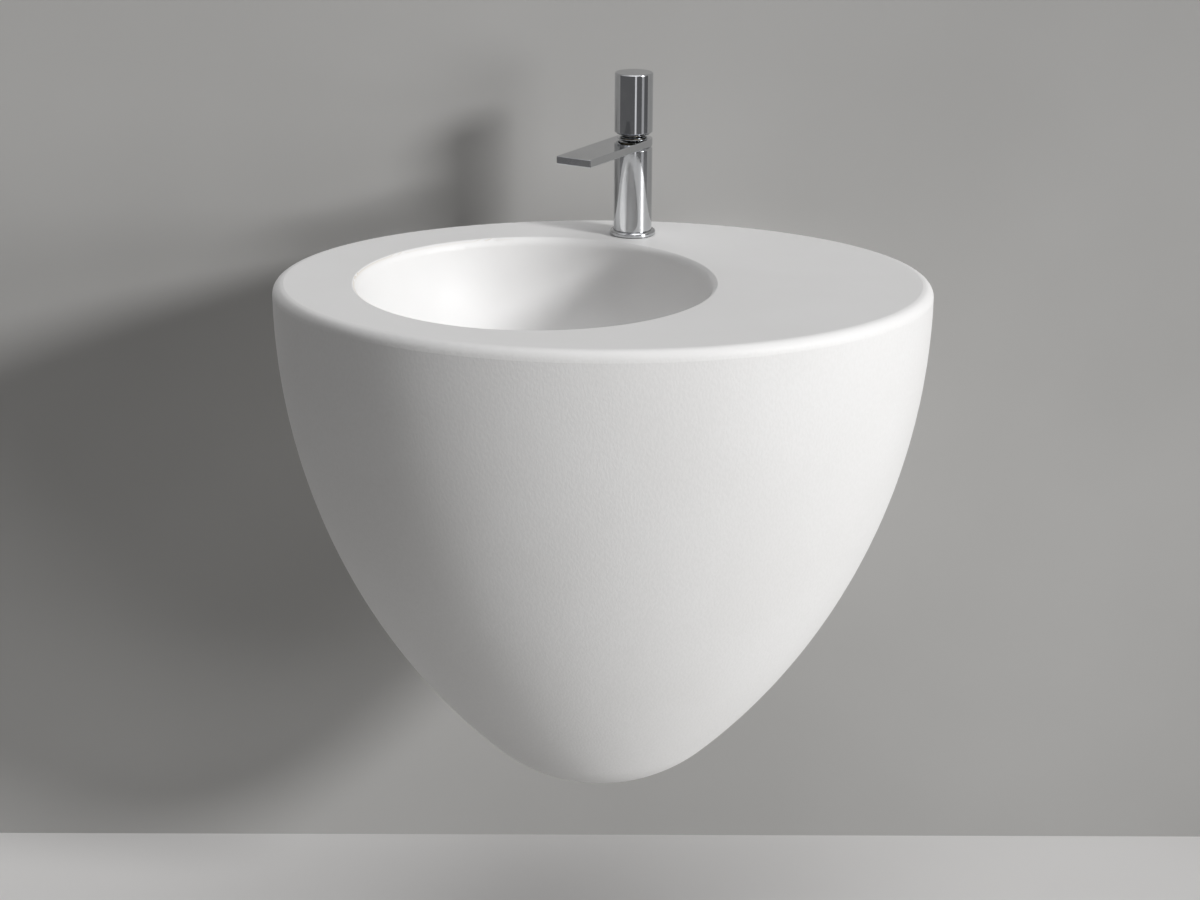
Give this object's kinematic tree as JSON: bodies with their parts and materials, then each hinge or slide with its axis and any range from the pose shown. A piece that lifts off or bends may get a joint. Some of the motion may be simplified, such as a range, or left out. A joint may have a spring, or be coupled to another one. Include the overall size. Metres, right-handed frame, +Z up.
{
  "type": "wall hung basin",
  "caption": "Egg-shaped wall hung ceramic basin with a round bowl off centre in a flat oval rim, deck tap with slab spout and joystick handle, click waste and bottle trap",
  "frame": {"origin": "midway between the two wall bolts, on the neck's flat back, which lies on the wall", "axes": "+Z up, +Y into the wall along the bolts, -Y the basin's front, +X to the right of someone who stands before the basin"},
  "size_m": [0.65, 0.6249, 0.706],
  "materials": {
    "ceramic": "matt glazed vitreous china, opaque",
    "chrome": "polished chrome on brass",
    "brass": "plain machined brass",
    "steel": "zinc plated steel",
    "stainless": "stainless steel",
    "rubber": "black rubber",
    "white_rubber": "pale silicone rubber",
    "nylon": "natural nylon",
    "cartridge_plastic": "glass filled plastic",
    "aerator_plastic": "pale acetal",
    "ceramic_disc": "lapped ceramic, opaque",
    "trap_plastic": "white moulded polypropylene"
  },
  "bodies": {
    "basin": {"basin_body": "ceramic", "wall_bolts": "steel", "wall_sleeves": "nylon", "wall_washers": "steel", "wall_nuts": "steel", "tap_base_gasket": "rubber", "tap_base_ring": "chrome", "tap_body": "chrome", "spout_slab": "chrome", "aerator_housing": "chrome", "aerator_insert": "aerator_plastic", "cartridge_base": "cartridge_plastic", "cartridge_inlet_seals": "rubber", "fixed_disc": "ceramic_disc", "cartridge_housing": "cartridge_plastic", "cartridge_nut": "chrome", "fixing_stud": "steel", "horseshoe_rubber": "rubber", "horseshoe_plate": "steel", "stud_nut": "brass", "waste_upper_seal": "white_rubber", "waste_body": "chrome", "waste_lower_seal": "rubber", "waste_backnut": "brass", "click_cartridge": "brass", "plug_spring": "stainless", "trap_inlet_seal": "rubber", "trap_tail": "trap_plastic", "trap_inlet_nut": "trap_plastic", "trap_neck_seal": "rubber", "trap_neck_nut": "trap_plastic", "trap_body": "trap_plastic", "trap_cup_seal": "rubber", "trap_cup": "trap_plastic", "trap_outlet_seal": "rubber", "trap_outlet_nut": "trap_plastic", "trap_outlet_pipe": "trap_plastic"},
    "handle_rotor": {"lever_rotor": "cartridge_plastic", "lever_pin": "stainless"},
    "handle": {"lever_stem": "stainless", "lever_dome": "chrome", "handle_adapter": "brass", "handle_screw": "stainless", "handle_shell": "chrome"},
    "valve_disc": {"disc_carrier": "cartridge_plastic", "moving_disc": "ceramic_disc"},
    "plug": {"plug_cap": "chrome", "plug_seal": "white_rubber", "plug_stem": "brass"}
  },
  "joints": [
    {"name": "handle_turn", "type": "hinge", "parent": "basin", "child": "handle_rotor", "pos_m": [0.032, -0.116, 0.183], "axis": [0, 0, 1], "range_deg": [-45, 45]},
    {"name": "handle_tilt", "type": "hinge", "parent": "handle_rotor", "child": "handle", "pos_m": [0.032, -0.116, 0.183], "axis": [-0.8572, 0.515, 0], "range_deg": [0, 10]},
    {"name": "disc_slide", "type": "slide", "parent": "handle_rotor", "child": "valve_disc", "axis": [-0.515, -0.8572, 0], "range_m": [0, 0.0021]},
    {"name": "plug_slide", "type": "slide", "parent": "basin", "child": "plug", "axis": [0, 0, 1], "range_m": [-0.008, 0], "stiffness_N_per_m": 400, "springref_m": 0.004, "deforming": ["plug_spring"]}
  ],
  "couplings": [
    {"joint": "disc_slide", "follows": "handle_tilt", "m_per_rad": 0.0113}
  ]
}
